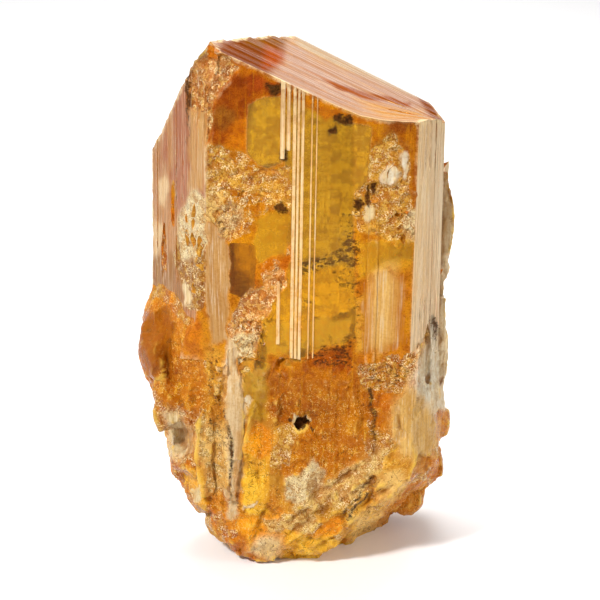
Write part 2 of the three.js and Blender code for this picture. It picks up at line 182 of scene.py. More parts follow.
# Normals of the straight faces: the prism faces, the step at the lower left and the sloping faces.
FACES = {
    "front": (0, -1, 0), "front_right": (0.803, -0.596, 0), "right": (0.999, -0.052, 0),
    "right_rear": (0.983, 0.181, 0), "rear": (0, 1, 0), "rear_left": (-0.262, 0.965, 0),
    "left_rear": (-0.654, 0.756, 0), "left": (-0.865, -0.501, 0), "front_left": (-0.829, -0.559, 0),
    "step": (-0.38, -0.925, -0.04), "back_slope": (-0.6, 0.55, 0.58), "corner": (0.8, 0.2, 0.56)}
FACE_NORMALS = np.array([np.array(v) / np.linalg.norm(v) for v in FACES.values()])
ON_FACE = math.cos(math.radians(3.5))
RIGHT_FACES = [list(FACES).index(name) for name in ("right", "right_rear")]
LEAST_FACE = 2.5    # the least area of a plane on the right that counts as a face, in mm2
WELD = 0.006        # corners of the solid as near as this, in mm, are one
PLANE_GAP = 0.0015  # how far from its plane, in mm, a flat triangle may lie
THIN = 0.012        # triangles this thin, in mm, have no normal to go by
# Mesh spacing by axis, in mm: of flat, end and broken parts, and along the edges of flat faces.
SPACING = np.array([[1e3] * 3, [0.3, 0.14, 0.3], [0.2] * 3])
EDGE_STEP = np.array([0.2, 0.2, 0.36])
ROW_STEP = 0.87     # between the staggered rows on a flat face, where the spacing in a row is 1
SHARP = math.radians(28)


def around(tri):
    """The edges of a triangle in order, as pairs of point numbers."""
    a, b, c = (int(v) for v in tri)
    return (a, b), (b, c), (c, a)


def either_way(a, b):
    return min(a, b), max(a, b)


def edge_list(tris):
    pairs = np.concatenate([tris[:, [0, 1]], tris[:, [1, 2]], tris[:, [2, 0]]])
    return np.unique(np.sort(pairs, axis=1), axis=0)


def drop_unused(points, tris):
    used, tris = np.unique(tris, return_inverse=True)
    return points[used], tris.reshape(-1, 3)


def source_mesh():
    """The solid's points, in mm, and triangles, welded."""
    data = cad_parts[NODE].data
    points = np.empty(len(data.vertices) * 3)
    data.vertices.foreach_get("co", points)
    points = points.reshape(-1, 3) / MM
    data.calc_loop_triangles()
    tris = np.empty(len(data.loop_triangles) * 3, dtype=np.int64)
    data.loop_triangles.foreach_get("vertices", tris)
    tree = KDTree(len(points))
    for i, p in enumerate(points):
        tree.insert(p, i)
    tree.balance()
    merged = np.arange(len(points))
    for i, p in enumerate(points):
        if merged[i] == i:
            for _, j, _ in tree.find_range(p, WELD):
                if merged[j] == j and j > i:
                    merged[j] = i
    tris = merged[tris.reshape(-1, 3)]
    tris = tris[(tris != np.roll(tris, 1, axis=1)).all(1)]
    # Two triangles left face to face on the same corners close on each other and go.
    _, which, many = np.unique(np.sort(tris, axis=1), axis=0, return_inverse=True, return_counts=True)
    return drop_unused(points, tris[many[which.reshape(-1)] == 1])


def tri_normals(points, tris):
    """Normals and areas of triangles."""
    n = np.cross(points[tris[:, 1]] - points[tris[:, 0]], points[tris[:, 2]] - points[tris[:, 0]])
    size = np.linalg.norm(n, axis=1, keepdims=True)
    return n / np.maximum(size, 1e-12), size[:, 0] / 2


def classify(points, tris):
    """What each triangle of the solid belongs to: a straight face, the end face, or a broken part."""
    n, size = tri_normals(points, tris)
    mid = points[tris].mean(1)
    along = n @ FACE_NORMALS.T
    along_face = along.max(1) > ON_FACE
    # Only a plane with some area to it is a face: a lone facet of a knob that happens to line up isn't.
    nearest = along.argmax(1)
    level = np.round((mid * FACE_NORMALS[nearest]).sum(1) / 0.04).astype(int)
    for k in RIGHT_FACES:
        mine = along_face & (nearest == k)
        if not mine.any():
            continue
        low = level[mine].min() - 1
        area = np.bincount(level[mine] - low, size[mine], level[mine].max() - low + 2)
        area = area + np.roll(area, 1) + np.roll(area, -1)
        along_face[mine] = area[level[mine] - low] > LEAST_FACE
    # The small side walls of ledges and ribs count with the face they are on.
    knob = (mid[:, 0] > 8.8) & (np.abs(mid[:, 1] - 0.2) < 2.8)
    wall = (np.abs(n[:, 2]) < 0.03) & (mid[:, 2] > 18) & ~knob
    kind = np.where((along_face & (mid[:, 2] > 17)) | wall, FLAT, ROUGH)
    kind[(n[:, 2] > 0.72) & (mid[:, 2] > 32)] = END
    end_wall = (mid[:, 2] > 33) & (np.abs(n[:, 1]) > 0.7) & (n[:, 0] > -0.4)
    kind[end_wall & (np.abs(n[:, 2]) > 0.03) & (n[:, 2] < 0.72) & ~along_face] = END
    kind[mid[:, 2] < 0.01] = FLAT
    return kind


def split_long(points, tris, kind, rounds=9):
    """Halves the edges of end and broken triangles until all are short, each kind in its own measure."""
    for _ in range(rounds):
        pairs = np.stack([tris[:, [0, 1]], tris[:, [1, 2]], tris[:, [2, 0]]], 1)
        span = (points[pairs[:, :, 1]] - points[pairs[:, :, 0]]) / SPACING[kind][:, None, :]
        edges, which = np.unique(np.sort(pairs.reshape(-1, 2), axis=1), axis=0, return_inverse=True)
        which = which.reshape(-1)
        longest = np.zeros(len(edges))
        np.maximum.at(longest, which, np.linalg.norm(span, axis=2).reshape(-1))
        mark = longest > 1.42
        if not mark.any():
            break
        new_id = np.full(len(edges), -1)
        new_id[mark] = len(points) + np.arange(mark.sum())
        points = np.concatenate([points, points[edges[mark]].mean(1)])
        mid = new_id[which].reshape(-1, 3)
        count = (mid >= 0).sum(1)
        out, out_kind = [tris[count == 0]], [kind[count == 0]]

        def replace(rows, *parts):
            out.extend(np.stack(part, 1) if isinstance(part, tuple) else part for part in parts)
            out_kind.extend([kind[rows]] * len(parts))

        whole = count == 3
        a, b, c = tris[whole].T
        ab, bc, ca = mid[whole].T
        replace(whole, (a, ab, ca), (ab, b, bc), (ca, bc, c), (ab, bc, ca))
        for turn in range(3):
            one = (count == 1) & (mid[:, turn] >= 0)
            a, b, c = np.roll(tris[one], -turn, axis=1).T
            m = mid[one, turn]
            replace(one, (a, m, c), (m, b, c))
            # Two marked edges meet at b: the third, from c to a, is whole. The shorter cut is taken.
            two = (count == 2) & (mid[:, (turn + 2) % 3] < 0)
            a, b, c = np.roll(tris[two], -turn, axis=1).T
            ab, bc = mid[two, turn], mid[two, (turn + 1) % 3]
            spans = [np.linalg.norm(points[p] - points[q], axis=1) for p, q in ((ab, c), (bc, a))]
            cut = (spans[0] <= spans[1])[:, None]
            replace(two, (ab, b, bc), np.where(cut, np.stack((a, ab, c), 1), np.stack((a, ab, bc), 1)),
                    np.where(cut, np.stack((ab, bc, c), 1), np.stack((a, bc, c), 1)))
        tris = np.concatenate(out)
        kind = np.concatenate(out_kind)
    return points, tris, kind


def flat_groups(points, tris, kind):
    """Sets of joined flat triangles that lie in one plane, each with its normal."""
    n, size = tri_normals(points, tris)
    at_edge = {}
    for t in np.nonzero(kind == FLAT)[0]:
        for pair in around(tris[t]):
            at_edge.setdefault(either_way(*pair), []).append(int(t))
    longest = np.linalg.norm(points[tris] - points[np.roll(tris, 1, axis=1)], axis=2).max(1)
    thin = size * 2 / np.maximum(longest, 1e-9) < THIN
    free = kind == FLAT
    groups = []
    for seed in sorted(np.nonzero(free)[0], key=lambda i: -size[i]):
        if not free[seed]:
            continue
        free[seed] = False
        origin, normal = points[tris[seed, 0]], n[seed]
        members, queue = [int(seed)], [int(seed)]
        while queue:
            for pair in around(tris[queue.pop()]):
                for other in at_edge[either_way(*pair)]:
                    if not free[other] or not (thin[other] or n[other] @ normal >= 0.9999):
                        continue
                    if np.abs((points[tris[other]] - origin) @ normal).max() > PLANE_GAP:
                        continue
                    free[other] = False
                    members.append(other)
                    queue.append(other)
        groups.append((np.array(members), normal))
    return groups


def inside(spots, start, stop):
    """Even-odd test of 2-D spots against boundary segments."""
    out = np.zeros(len(spots), dtype=bool)
    rise = stop[:, 1] - start[:, 1]
    for low in range(0, len(spots), 4000):
        part = slice(low, low + 4000)
        x, y = spots[part, 0][:, None], spots[part, 1][:, None]
        straddle = (start[:, 1] > y) != (stop[:, 1] > y)
        cross = start[:, 0] + (y - start[:, 1]) * (stop[:, 0] - start[:, 0]) / np.where(rise == 0, 1, rise)
        out[part] = (straddle & (cross > x)).sum(1) % 2 == 1
    return out


def boundary_gap(spots, start, stop):
    """Distance of 2-D spots from the nearest boundary segment."""
    out = np.empty(len(spots))
    way = stop - start
    length = np.maximum((way ** 2).sum(1), 1e-12)
    for low in range(0, len(spots), 2000):
        rel = spots[low:low + 2000][:, None, :] - start
        t = np.clip((rel * way).sum(2) / length, 0, 1)
        out[low:low + 2000] = np.sqrt(((rel - t[..., None] * way) ** 2).sum(2)).min(1)
    return out


def inner_faces(faces, rim):
    """The triangles enclosed by a rim that runs anticlockwise round them."""
    owner = {pair: i for i, face in enumerate(faces) for pair in around(face)}
    wall = {(int(a), int(b)) for a, b in rim}
    queue = [owner[pair] for pair in wall if pair in owner]
    keep = np.zeros(len(faces), dtype=bool)
    while queue:
        i = queue.pop()
        if keep[i]:
            continue
        keep[i] = True
        queue += [owner[b, a] for a, b in around(faces[i])
                  if (a, b) not in wall and (b, a) in owner and (b, a) not in wall]
    return faces[keep]


def flat_step(normal):
    """Mesh spacing on a flat face, across and up."""
    if normal[2] < -0.9:
        return 0.5, 0.5
    if normal[1] < -0.99:
        return 0.14, 0.2
    if normal[1] < -0.3:
        return 0.16, 0.3
    return 0.24, 0.5


def fill(flat, start, stop):
    """Spots in staggered rows inside an outline, and clear of it."""
    (left, low), (right, high) = flat.min(0), flat.max(0)
    rows = np.arange(low, high, ROW_STEP)
    if not len(rows) or right - left <= 1:
        return np.zeros((0, 2))
    lines = [np.arange(left + 0.5 * (j % 2), right, 1.0) for j in range(len(rows))]
    grid = np.concatenate([np.stack([line, np.full(len(line), row)], 1) for line, row in zip(lines, rows)])
    grid = grid + 0.12 * (cell_randoms(np.stack([np.arange(len(grid))] * 3, 1), (5, 6)) - 0.5)
    grid = grid[inside(grid, start, stop)]
    return grid[boundary_gap(grid, start, stop) > 0.55] if len(grid) else grid


def remesh_flats(points, tris, kind):
    """Meshes each flat face anew, evenly; the edges it shares with others stay the same on both sides."""
    rough_edges = {either_way(*pair) for t in tris[kind != FLAT] for pair in around(t)}
    extra, count = [], len(points)
    between = {}
    out, out_kind = [tris[kind != FLAT]], [kind[kind != FLAT]]
    for members, normal in flat_groups(points, tris, kind):
        directed = {pair for t in tris[members] for pair in around(t)}
        rim = [pair for pair in directed if pair[::-1] not in directed]
        across = np.cross((0, 0, 1), normal) if abs(normal[2]) < 0.9 else np.array([1.0, 0, 0])
        across = across / np.linalg.norm(across)
        upward = np.cross(normal, across)
        origin = points[tris[members[0], 0]]
        step = flat_step(normal)
        ids, places, segments = {}, [], []
        for a, b in sorted(rim):
            key = either_way(a, b)
            if key not in between:
                n = int(np.ceil(np.linalg.norm((points[b] - points[a]) / EDGE_STEP)))
                n = 1 if key in rough_edges else n
                way = points[key[1]] - points[key[0]]
                extra += [points[key[0]] + way * i / n for i in range(1, n)]
                between[key] = list(range(count, count + n - 1))
                count += len(between[key])
            line = []
            for v in [a] + (between[key] if a < b else between[key][::-1]) + [b]:
                if v not in ids:
                    ids[v] = len(ids)
                    places.append(points[v] if v < len(points) else extra[v - len(points)])
                line.append(ids[v])
            segments += list(zip(line[:-1], line[1:]))
        names = list(ids)
        rel = np.array(places) - origin
        flat = np.stack([rel @ across / step[0], rel @ upward / step[1]], 1)
        seg = np.array(segments)
        cloud = np.concatenate([flat, fill(flat, flat[seg[:, 0]], flat[seg[:, 1]])])
        spots = [Vector(p) for p in cloud]
        verts, _, faces, came_from, _, _ = delaunay_2d_cdt(spots, segments, [], 0, 1e-9)
        lookup = np.full(len(verts), -1)
        spot_of = np.full(len(cloud), -1)
        for i, source in enumerate(came_from):
            spot_of[list(source)] = i
            if source and min(source) < len(names):
                lookup[i] = names[min(source)]
            else:
                extra.append(origin + across * verts[i].x * step[0] + upward * verts[i].y * step[1])
                lookup[i] = count
                count += 1
        faces = inner_faces(np.array([f for f in faces if len(f) == 3]), spot_of[seg])
        out.append(lookup[faces])
        out_kind.append(np.full(len(faces), FLAT))
    points, tris = drop_unused(np.concatenate([points, np.array(extra)]), np.concatenate(out))
    return points, tris, np.concatenate(out_kind)


# ---------------------------------------------------------------------------
# Relief
# ---------------------------------------------------------------------------
REST = 0.03           # below this height, in mm, the crystal rests on its flat cut
BREAK = (14.0, 20.0)  # the heights between which the prism gives way to the broken part


def by_front(points):
    """Whether points lie close behind the front face."""
    return (np.abs(points[:, 0] - 1.4) < 7.2) & (points[:, 1] < FRONT_Y + 1.2)


def vertex_normals(points, tris):
    n, size = tri_normals(points, tris)
    total = np.zeros_like(points)
    for k in range(3):
        np.add.at(total, tris[:, k], n * size[:, None])
    return total / np.maximum(np.linalg.norm(total, axis=1, keepdims=True), 1e-12)


def vertex_share(points, tris, mine):
    """Share of the area round each vertex that belongs to the marked triangles."""
    _, size = tri_normals(points, tris)
    total, part = np.zeros(len(points)), np.zeros(len(points))
    for k in range(3):
        np.add.at(total, tris[:, k], size)
        np.add.at(part, tris[:, k], size * mine)
    return part / np.maximum(total, 1e-12)


def neighbour_mean(points, edges):
    total = np.zeros_like(points)
    np.add.at(total, edges[:, 0], points[edges[:, 1]])
    np.add.at(total, edges[:, 1], points[edges[:, 0]])
    return total / np.bincount(edges.reshape(-1), minlength=len(points))[:, None]


def convexity(points, tris):
    """How far each point stands out from its neighbours, in mm: above 0 on ridges, below 0 in hollows."""
    edges = edge_list(tris)
    a, b = edges.T
    count = np.bincount(edges.reshape(-1), minlength=len(points))
    out = ((points - neighbour_mean(points, edges)) * vertex_normals(points, tris)).sum(1)
    for _ in range(2):
        near = np.bincount(a, out[b], len(points)) + np.bincount(b, out[a], len(points))
        out = 0.4 * out + 0.6 * near / count
    return out


def relief(points, tris, kind, crackle, depth, slant):
    """Adds growth lines to the faces and broken relief to the rest. Gives the push of each point too."""
    rough = vertex_share(points, tris, kind == ROUGH)
    end = vertex_share(points, tris, kind == END)
    rest = points[:, 2] < REST
    low = 1 - smooth(*BREAK, points[:, 2])
    # Where the solid is broken, its coarse facets are softened.
    weight = np.where(rest, 0, rough * (rough > 0.98) * (0.45 + 0.5 * low))
    edges = edge_list(tris)
    for _ in range(6):
        points = points + weight[:, None] * 0.5 * (neighbour_mean(points, edges) - points)
    # Below the break the front carries on from the flat face.
    x, y, z = points.T
    flush = rough * smooth(12.0, 17.0, z) * by_front(points)
    points = points.copy()
    points[:, 1] = np.where(flush > 0, np.minimum(y, y + (FRONT_Y - y) * flush), y)
    normal = vertex_normals(points, tris)
    x, y, z = points.T

    def wander(scale, seed, size):
        return size * fbm(points * scale, seed, 2)[:, None]

    # Growth lines: up the prism faces, and along the end face.
    up = np.stack([x * 1.7, y * 1.7, z * 0.035], 1)
    lines = 0.6 * noise(up, 3) + 0.5 * noise(up * 2.1, 4) + 0.35 * np.abs(noise(up * 3.6, 5))
    across = np.stack([x * 0.03 + z * 0.03, y * 1.9, y * 0.0], 1)
    end_lines = 0.6 * noise(across * 1.1, 6) + 0.5 * noise(across * 2.6, 7)
    flat_push = 0.03 * lines * (1 - rough) * (1 - end) + 0.03 * end_lines * end

    # Broken parts: lumps, small tilted planes and grain.
    tall = np.stack([x, y, z * 0.34], 1)
    lumps = 0.24 * fbm(tall * 0.5, 21, 3)
    broken = 0.26 * facets(tall * 0.8 + wander(0.5, 30, 0.3), 31)
    chips = 0.12 * facets(points * np.array([1.7, 1.7, 0.6]) + wander(1.1, 35, 0.2), 41)
    grain = 0.05 * fbm(points * 2.6, 51, 2)
    deep = rough * (0.35 + 0.65 * low)
    push = flat_push + deep * (lumps * low + broken * (0.25 + 0.75 * low)) + rough * (chips + grain)
    # Low on the right the break is fluted, rising to the right.
    slope = np.stack([(x * 0.77 + z * 0.64) * 0.3, y * 1.2, (z * 0.77 - x * 0.64) * 1.5], 1)
    push += rough * slant * 0.3 * fbm(slope, 37, 2)
    # Crackled patches on the flat faces are pitted.
    near = cells(points * np.array([1.3, 1.3, 1.1]) + wander(0.9, 45, 0.3), 46)[0]
    pits = -0.16 * np.clip(1 - near / 0.6, 0, 1)
    pits += 0.1 * facets(points * 2.2, 47) + 0.05 * fbm(points * 2.8, 48, 2) - 0.03
    push += crackle * (1 - rough) * pits
    # Hollows have sharp broken floors.
    hackle = 0.5 * facets(points * np.array([2.0, 2.0, 1.7]) + wander(0.9, 55, 0.3), 56)
    hackle += 0.12 * fbm(points * 3.0, 57, 2)
    push += np.abs(depth) * hackle * 1.3 * (depth > 0.2) - depth
    push = np.where(rest, 0, push)
    points = points + normal * push[:, None]
    points[:, 2] = np.maximum(points[:, 2], 0)
    points[rest, 2] = 0
    return np.clip(points, *(np.array(c) / MM for c in CAD_BOX)), push


# ---------------------------------------------------------------------------
# Fields: where the crystal is clear, stained, crackled, pale or dark
# ---------------------------------------------------------------------------
def shade(r, g, b):
    """Linear colour of an sRGB triple."""
    c = np.array([r, g, b]) / 255.0
    return np.where(c <= 0.04045, c / 12.92, ((c + 0.055) / 1.055) ** 2.4)


STAINS = {
    "orange": (216, 122, 8), "deep": (170, 80, 4), "rust": (176, 72, 14), "umber": (160, 92, 22),
    "straw": (224, 160, 50), "gilt": (210, 134, 14), "peach": (232, 156, 78), "cream": (248, 228, 180),
    "white": (255, 246, 222), "sand": (222, 174, 112), "blush": (196, 144, 94), "rose": (180, 110, 72),
    "chalk": (238, 208, 160), "tan": (208, 160, 98), "ink": (58, 32, 12), "slate": (120, 112, 92),
    "shell": (252, 232, 196), "stone": (204, 188, 160), "bronze": (160, 84, 22), "yellow": (255, 196, 52),
    "flame": (255, 166, 20), "wheat": (246, 200, 116), "moss": (178, 118, 40), "amber": (188, 105, 2),
    "tawny": (164, 112, 56), "nectar": (206, 124, 6), "ember": (216, 132, 24), "petal": (196, 162, 140),
    "russet": (172, 78, 16), "bark": (142, 86, 4), "fawn": (204, 160, 112), "cork": (136, 68, 12),
    "ivory": (246, 208, 156), "pearl": (246, 222, 184)}
# Clear parts only tint the colour that the thickness of the crystal gives them. These are linear colours.
TINTS = {
    "gold": (0.96, 0.67, 0.22), "olive": (0.68, 0.48, 0.16), "olive_dark": (0.55, 0.37, 0.08),
    "pane": (0.92, 0.54, 0.06), "brown": (0.44, 0.15, 0.004), "honey": (0.72, 0.38, 0.02),
    "syrup": (0.8, 0.42, 0.02), "rear": (0.95, 0.6, 0.08)}
COLOUR = {name: shade(*rgb) for name, rgb in STAINS.items()}
COLOUR.update((name, np.array(rgb)) for name, rgb in TINTS.items())

# A look sets four things, or leaves them as they are: clear, crackle, pale, dark.
KEPT = (None, None, None)
LOOK = {
    "window": (1, 0, 0, 0), "haze": (0.42, 0, 0, 0), "stain": (0, 0, 0, 0), "crackle": (0, 1, 0, 0),
    "speckle": (0, 0.46, 0, 0), "pale": (0, 0, 1, 0), "matt": (0, 0, 0.62, 0), "dark": (0, 0, 0, 0.86),
    # The hole look is painted shade: a dark share past 1 that fills a pit near black.
    "hole": (0, 0, 0, 1.7), "specks": (*KEPT, 0.56), "spots": (*KEPT, 0.64), "flecks": (*KEPT, 0.36),
    "glaze": (*KEPT, None)}
# Broken parts turned away from the camera repeat these looks of the front.
MIRRORED = ("stain", "crackle", "matt", "speckle")

# Faces: F front, L left, R right, E end, C chip, B broken, K back.
# The ground each face starts from: its look, and two colours that run into each other.
GROUND = {
    "B": ((0, 0, 0, 0), "orange", "straw"), "F": ((0, 0, 0, 0), "orange", "gilt"),
    "L": ((0, 0, 0.45, 0), "blush", "rose"), "R": ((0, 0, 0.5, 0), "shell", "pearl"),
    # The end face's pale petal ground is partly a frosted film and partly painted sheen.
    "C": ((0, 0.8, 0.3, 0), "fawn", "orange"), "E": ((0, 0, 0.3, 0), "petal", "fawn"),
    "K": ((0, 0, 0, 0), "orange", "gilt")}


def table(text):
    """Rows of words. A line that starts with two spaces carries on the row above it."""
    return [row.split() for row in text.replace("\n  ", " ").splitlines() if row and row[0] != "#"]


def outline(words):
    return np.array([[float(v) for v in word.split(",")] for word in words])


# Each patch: the faces it lies on, its look, its colour or -, how soft its rim is in pixels, and its
# outline in the 600 px frame of the camera. Later ones lie over earlier ones.
# End face, from the stained left end to the pale right end. Its pale pink middle is partly a frosted film
# and partly painted sheen; the grey strip along its back edge is painted shade.
# Painted glints: a white slanted streak low on the break and a small white spot higher up.
# Painted highlight on the gold lump.
# The pit and two small holes beside it are painted near black: painted shade.
PATCHES = table("""
# Front, upper left: stained corner, clear pane and dark inclusion.
F stain deep 5 214,66 292,88 292,102 262,100 248,108 246,158 230,168 208,152 206,110
FCL crackle peach 2 187,74 194,60 206,56 228,58 238,68 232,78 222,86 216,95 212,112 212,126 209,141
  204,144 202,126 192,108 188,104
F glaze umber 4 210,112 222,106 236,108 238,122 226,130 212,126
F glaze orange 4 236,122 247,118 247,150 236,160 224,150 228,134
F glaze rust 4 246,74 288,86 286,97 248,92
F window gold 1.6 248,106 257,101 270,98 289,98 290,158 280,162 268,167 258,164 247,156
F dark ink 2.5 264,85 283,87 284,95 276,99 265,95
# Front, middle: the olive pane, then the amber one below it.
F window olive 1.6 285,96 304,104 330,113 353,119 354,268 338,276 300,272 285,262
F glaze olive_dark 5 328,116 353,121 354,230 340,226 332,180
F window gold 1.5 354,124 371,128 372,182 354,192
FB window pane 3 254,372 260,330 270,308 284,288 290,258 302,268 354,268 356,338 330,344 306,352 296,376
  284,362 274,388 264,366
F haze orange 3 284,92 303,98 330,107 420,118 420,126 350,122 326,117 300,106 286,100
F dark ink 2 333,115 353,116 354,125 344,127 333,123
F dark ink 1.5 325,127 338,127 338,136 326,135
F glaze umber 6 386,124 418,124 418,140 404,143 388,136
# Front, right: crackled patch with bright flakes.
F stain gilt 4 372,126 418,126 418,290 356,292 354,196 372,184
F glaze bronze 6 384,120 418,122 418,142 402,146 386,138
F crackle straw 4 374,146 392,136 417,150 418,236 404,246 380,240 362,232 354,214 354,196 366,182
F stain amber 4 396,128 418,130 418,206 411,206 408,160 398,148
F pale white 1 383,171 388,165 395,164 399,170 398,180 391,187 384,185 381,178
F pale white 1 402,158 405,156 406,170 404,181 401,178
F dark ink 1.4 366,186 370,184 371,204 366,206
F dark ink 1.4 372,184 379,182 378,192 373,196
F dark ink 2 352,201 361,198 364,206 356,210
F pale cream 1.6 363,209 370,205 376,210 374,218 368,222 364,217
F crackle cream 2 404,218 411,208 418,208 418,238 410,240 404,231
F haze syrup 7 358,244 384,240 416,236 416,262 388,270 358,276
# Front, left: blobs of crackle.
F speckle gilt 4 206,142 232,150 262,166 290,166 290,214 262,224 234,246 214,240 206,200
F crackle straw 2 208,150 220,147 231,160 235,178 230,198 218,204 209,190
F crackle straw 2 233,172 240,165 247,172 248,184 240,194 232,188
F crackle straw 2 251,180 261,168 277,165 289,170 289,204 280,211 266,205 254,195
F crackle sand 2 215,209 228,202 240,208 244,221 236,236 226,240 218,228
F dark ink 1.5 274,206 281,203 288,209 286,216 279,216
F dark ink 2 278,155 289,150 289,158 284,162
F haze honey 3 254,222 274,212 290,214 290,262 256,262
F window brown 1 230,244 255,246 255,292 246,300 236,294 230,292
# Front, middle left: the crackled wedge and the matt strip below it.
F speckle orange 3 258,262 284,258 296,240 292,262 284,284 262,286
F crackle peach 2 256,288 268,276 280,268 284,280 276,302 266,322 260,338 257,356 250,374 245,385 238,374
  228,346 230,320 236,308 246,298
F crackle cream 3 230,340 244,334 258,334 254,360 245,380 236,364 229,350
FB haze pane 3 243,382 258,362 268,362 267,392 244,396
FB haze honey 4 243,390 267,386 266,414 244,420
# Front, lower middle: specks, smudge, streaks.
F spots - 4 302,266 318,257 332,250 344,238 358,234 359,262 344,266 330,269 318,269 303,276
F spots - 3 298,258 322,256 322,272 299,276
F flecks - 4 326,270 360,268 362,286 340,290
F flecks - 6 336,214 356,206 358,232 340,240
F flecks - 6 298,296 322,298 324,312 300,312
F flecks - 6 346,268 364,268 362,345 350,350
FB haze yellow 5 262,322 300,316 354,314 356,338 304,350 262,366
FB stain deep 6 306,352 330,344 352,348 355,372 340,382 318,376 305,366
FB specks - 5 306,352 330,336 350,340 352,364 336,370 312,362
F matt nectar 6 360,284 404,272 406,346 396,354 362,352
F matt wheat 10 371,276 392,262 398,290 393,338 380,352 370,344
F glaze straw 3 355,300 364,290 366,350 356,352
# Below the break: rough orange, olive-gold, pit, block, golden wedge.
FB stain amber 5 266,356 304,358 352,374 366,370 368,392 330,432 286,430 268,410
FB crackle gilt 4 358,364 384,358 414,356 418,376 398,390 362,386
FB flecks - 5 366,364 412,358 412,380 370,386
FB matt chalk 2.5 226,336 237,352 244,388 244,422 240,440 236,470 238,512 228,516 222,470 224,400
B matt sand 2 235,432 243,430 244,488 237,490
B stain nectar 4 318,432 366,392 368,440 350,462 329,483 322,465
B stain flame 3 244,434 258,422 272,432 271,462 258,464 244,456
B stain yellow 3 244,452 258,458 270,454 268,514 244,516
B pale white 0.7 244,511 250,505 257,500.5 257.5,502 251,508 246,512.5
FB pale white 1 245,398 250,395 251,403 247,410
B stain nectar 3 284,434 300,428 320,436 326,470 316,480 284,478
B crackle straw 3 277,430 290,426 298,436 290,462 279,458
B crackle cream 3 284,482 300,472 316,462 324,470 322,494 302,508 286,502
B pale cream 0.8 294,419 298,413.6 306,416 310.5,422 305,429.6 297,430.4 293.6,425
B hole ink 0.7 295,419 299,415 305,417 309,422 304,428 298,429 295,424
B hole ink 0.8 310,427 314,427 315,430 311,431
B hole ink 0.8 288,419 292,418 293,421 290,422
B matt wheat 6 393,400 408,380 416,400 410,436 398,450 392,440
FB dark ink 2 367,384 370,384 374,402 376,440 373,444 371,420
B crackle wheat 4 332,480 366,456 396,446 392,468 352,498 300,516 292,510
B dark slate 0.9 345,520 360,499 380,476 381,477.5 362,500 347,521
B dark slate 0.8 343,513 356,494 371,478 372,479.5 358,495 344,514
B stain straw 6 386,452 404,440 424,444 418,466 400,482 380,484
B stain wheat 4 374,478 400,472 412,484 400,500 380,502
B stain wheat 6 352,516 384,506 386,520 362,540 350,538
B stain ember 3 384,512 398,498 408,490 426,482 430,500 414,516 396,518
B stain orange 3 430,458 438,454 443,470 438,490 430,488
B stain flame 4 238,520 290,514 300,526 286,552 252,548
B stain cream 6 250,548 260,540 280,539 286,547 276,557 258,557
B stain flame 3 312,532 334,516 343,524 326,544 313,546
B crackle wheat 4 262,522 310,512 320,524 300,534 266,536
B stain yellow 4 284,534 340,540 352,552 330,562 284,560
# Left: outer face, striated face, glittering patch, lumps.
L matt chalk 2.4 160,184 164,176 169,186 168,202 163,210 160,200
L matt chalk 3.5 153,216 162,222 164,240 159,262 154,262
L matt tawny 6 150,254 180,250 186,308 150,322
L dark umber 1.4 185.5,74 188,74 190,100 188,140 186,140
L matt tan 3 188,106 204,116 206,190 190,190
LF crackle moss 4 178,236 190,240 206,250 206,300 200,312 184,306 176,262
LF crackle cream 4 180,212 196,190 206,200 206,246 196,258 184,256 178,240
LF pale cream 1.5 182,287 189,287 190,303 183,304
F crackle wheat 3 203,190 216,186 222,206 214,224 203,226
F matt tan 2 206,222 220,226 229,246 229,312 226,340 212,344 206,300
BL stain ember 5 142,308 160,300 184,326 190,352 186,398 166,404 146,386
BL haze amber 4 138,312 166,306 176,330 172,360 156,376 138,372
B stain amber 4 162,372 178,362 184,380 180,408 166,402
B stain ember 5 184,342 204,346 207,400 198,416 186,405
B matt cream 5 164,412 182,410 186,440 184,466 170,452
B matt sand 4 178,428 194,426 196,452 186,458
B stain yellow 4 184,470 204,466 207,500 196,506
B pale cream 2 190,488 199,486 200,498 193,501
B stain ember 4 206,492 222,488 226,512 214,516
B stain straw 5 208,346 222,350 226,424 226,434 198,434 206,400
B speckle wheat 5 198,416 226,420 228,486 206,492 196,440
B flecks - 5 208,346 222,352 226,420 218,424 206,380
B dark slate 1.4 226,420 229,430 233,452 233,476 230,498 229,496 231,460
B flecks - 6 204,414 226,412 228,446 218,452 206,436
# Right: grey patch, slivers.
R matt shell 4 426,190 438,190 438,224 428,222
B matt shell 3 430,166 448,172 456,190 458,300 452,410 434,408 431,352 430,318
B stain moss 2 449,180 460,186 460,300 453,296 453,214
B stain ember 3 436,412 446,408 453,420 450,440 438,446 434,430
RB dark slate 3 427,318 432,312 438,328 437,348 430,352
RB matt white 7 410,392 424,340 430,330 442,352 440,400 434,430 420,436 408,424
B matt wheat 7 399,398 412,388 438,420 434,454 414,462 396,456
# End face, from the stained left end to the pale right end.
E stain cork 7 196,62 236,34 270,30 284,44 278,64 264,78 214,56
E stain bark 5 244,34 276,30 286,40 278,48 258,48 244,44
E glaze russet 5 266,44 284,52 284,66 262,70
E matt petal 8 272,76 292,54 330,66 430,112 420,118 362,112 300,92
E matt stone 4 290,32 330,46 428,94 424,101 340,66 300,47
E matt tan 4 352,98 392,108 424,110 424,120 384,118
E stain bronze 1.4 322,79 352,88 384,96 411,103 409,107 372,100 340,90
E stain cork 2.5 418,98 433,91 450,118 446,128 433,121
""")

